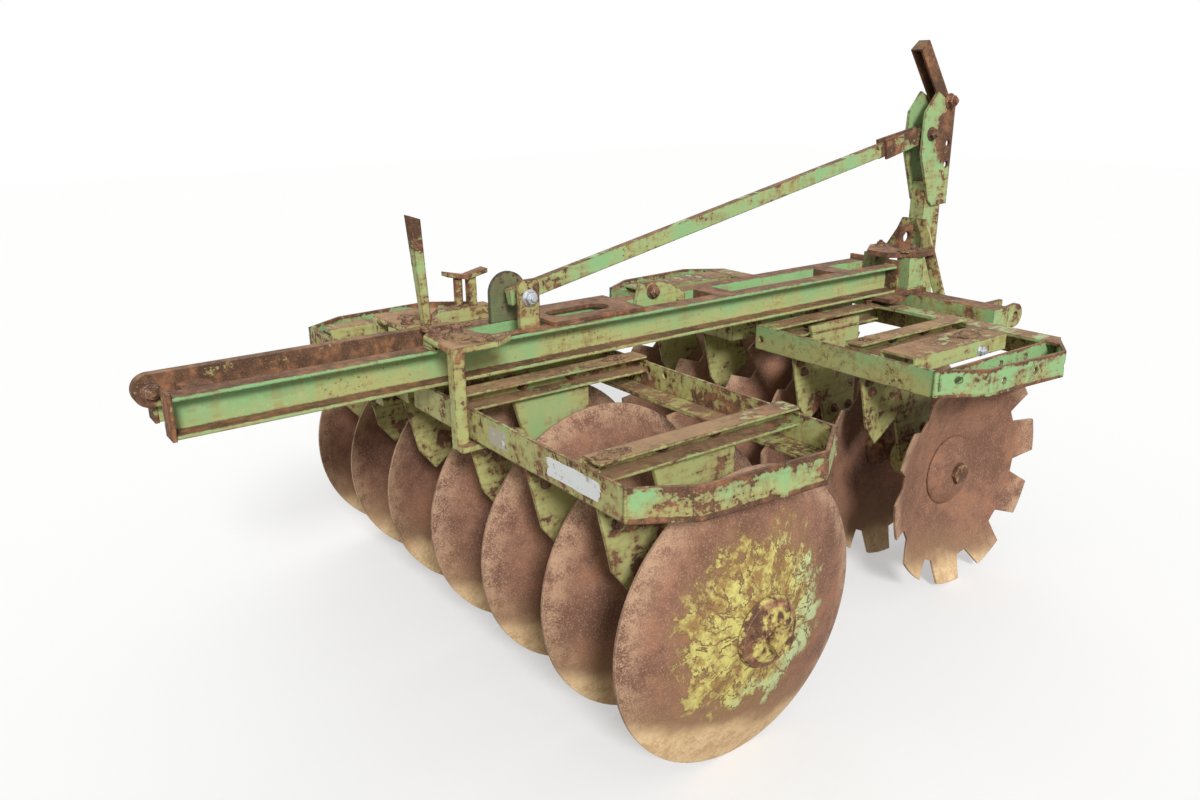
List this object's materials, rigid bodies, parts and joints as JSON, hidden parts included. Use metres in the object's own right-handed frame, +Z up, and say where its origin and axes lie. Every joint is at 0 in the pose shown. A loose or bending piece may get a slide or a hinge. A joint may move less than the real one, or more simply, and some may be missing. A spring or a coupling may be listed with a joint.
{
  "type": "disc harrow",
  "caption": "Mounted tandem disc harrow: four gangs of dished discs, two plain rear and two notched front, under a twin channel beam with a three-point headstock.",
  "frame": {"origin": "on the ground, at the middle of the machine's length and width as it stands on its discs", "axes": "+Y points forward to the tractor, +X to the machine's right, +Z up"},
  "size_m": [1.614, 2.3749, 1.3898],
  "materials": {
    "green_paint": "old light green paint, sun-bleached, chipped and rusting",
    "rusty_steel": "bare rusted steel with traces of green paint",
    "disc_steel": "brown rusted disc steel, dusty towards the ground"
  },
  "bodies": {
    "main_frame": {"main_beams": "green_paint", "beam_end_plates": "green_paint", "adjusting_bar": "green_paint", "beam_spacers": "green_paint", "rear_hanger": "green_paint", "base_plate": "rusty_steel", "king_bolts": "rusty_steel", "slotted_plate": "rusty_steel", "link_lug": "green_paint", "lever": "green_paint", "brace_bracket": "green_paint", "brace": "green_paint", "brace_pins": "rusty_steel", "cross_beam": "rusty_steel", "uprights": "green_paint", "foot_plate": "rusty_steel", "mast_legs": "green_paint", "mast_post": "green_paint", "mast_plates": "green_paint", "top_link_pin": "rusty_steel", "hitch_plates": "green_paint"},
    "swing_piece": {"top_link_piece": "rusty_steel"},
    "gang_rear_right": {"frame_rear_right": "green_paint", "stands_rear_right": "green_paint", "scrapers_rear_right": "green_paint"},
    "rotor_rear_right": {"discs_rear_right": "disc_steel", "spools_rear_right": "rusty_steel", "shaft_rear_right": "rusty_steel"},
    "gang_rear_left": {"frame_rear_left": "green_paint", "stands_rear_left": "green_paint", "scrapers_rear_left": "green_paint", "lever_rest": "rusty_steel"},
    "rotor_rear_left": {"discs_rear_left": "disc_steel", "spools_rear_left": "rusty_steel", "shaft_rear_left": "rusty_steel"},
    "gang_front_right": {"frame_front_right": "green_paint", "stands_front_right": "green_paint", "scrapers_front_right": "green_paint"},
    "rotor_front_right": {"discs_front_right": "disc_steel", "spools_front_right": "rusty_steel", "shaft_front_right": "rusty_steel"},
    "gang_front_left": {"frame_front_left": "green_paint", "stands_front_left": "green_paint", "scrapers_front_left": "green_paint"},
    "rotor_front_left": {"discs_front_left": "disc_steel", "spools_front_left": "rusty_steel", "shaft_front_left": "rusty_steel"}
  },
  "joints": [
    {"name": "angle_rear_right", "type": "hinge", "parent": "main_frame", "child": "gang_rear_right", "pos_m": [0.191, -0.5785, 0.591], "axis": [0, 0, -1], "range_deg": [0, 13]},
    {"name": "spin_rear_right", "type": "hinge", "parent": "gang_rear_right", "child": "rotor_rear_right", "pos_m": [0.3, -0.32, 0.305], "axis": [-1, 0, 0], "continuous": true},
    {"name": "angle_rear_left", "type": "hinge", "parent": "main_frame", "child": "gang_rear_left", "pos_m": [-0.191, -0.5785, 0.591], "axis": [0, 0, 1], "range_deg": [0, 13]},
    {"name": "spin_rear_left", "type": "hinge", "parent": "gang_rear_left", "child": "rotor_rear_left", "pos_m": [-0.3, -0.32, 0.305], "axis": [-1, 0, 0], "continuous": true},
    {"name": "angle_front_right", "type": "hinge", "parent": "main_frame", "child": "gang_front_right", "pos_m": [0.11, 0.8305, 0.648], "axis": [0, 0, 1], "range_deg": [0, 13]},
    {"name": "spin_front_right", "type": "hinge", "parent": "gang_front_right", "child": "rotor_front_right", "pos_m": [0.3, 0.645, 0.298], "axis": [-1, 0, 0], "continuous": true},
    {"name": "angle_front_left", "type": "hinge", "parent": "main_frame", "child": "gang_front_left", "pos_m": [-0.11, 0.8305, 0.648], "axis": [0, 0, -1], "range_deg": [0, 13]},
    {"name": "spin_front_left", "type": "hinge", "parent": "gang_front_left", "child": "rotor_front_left", "pos_m": [-0.3, 0.645, 0.298], "axis": [-1, 0, 0], "continuous": true},
    {"name": "top_link_swing", "type": "hinge", "parent": "main_frame", "child": "swing_piece", "pos_m": [0, 1.15, 1.218], "axis": [-1, 0, 0], "range_deg": [0, 110]}
  ]
}
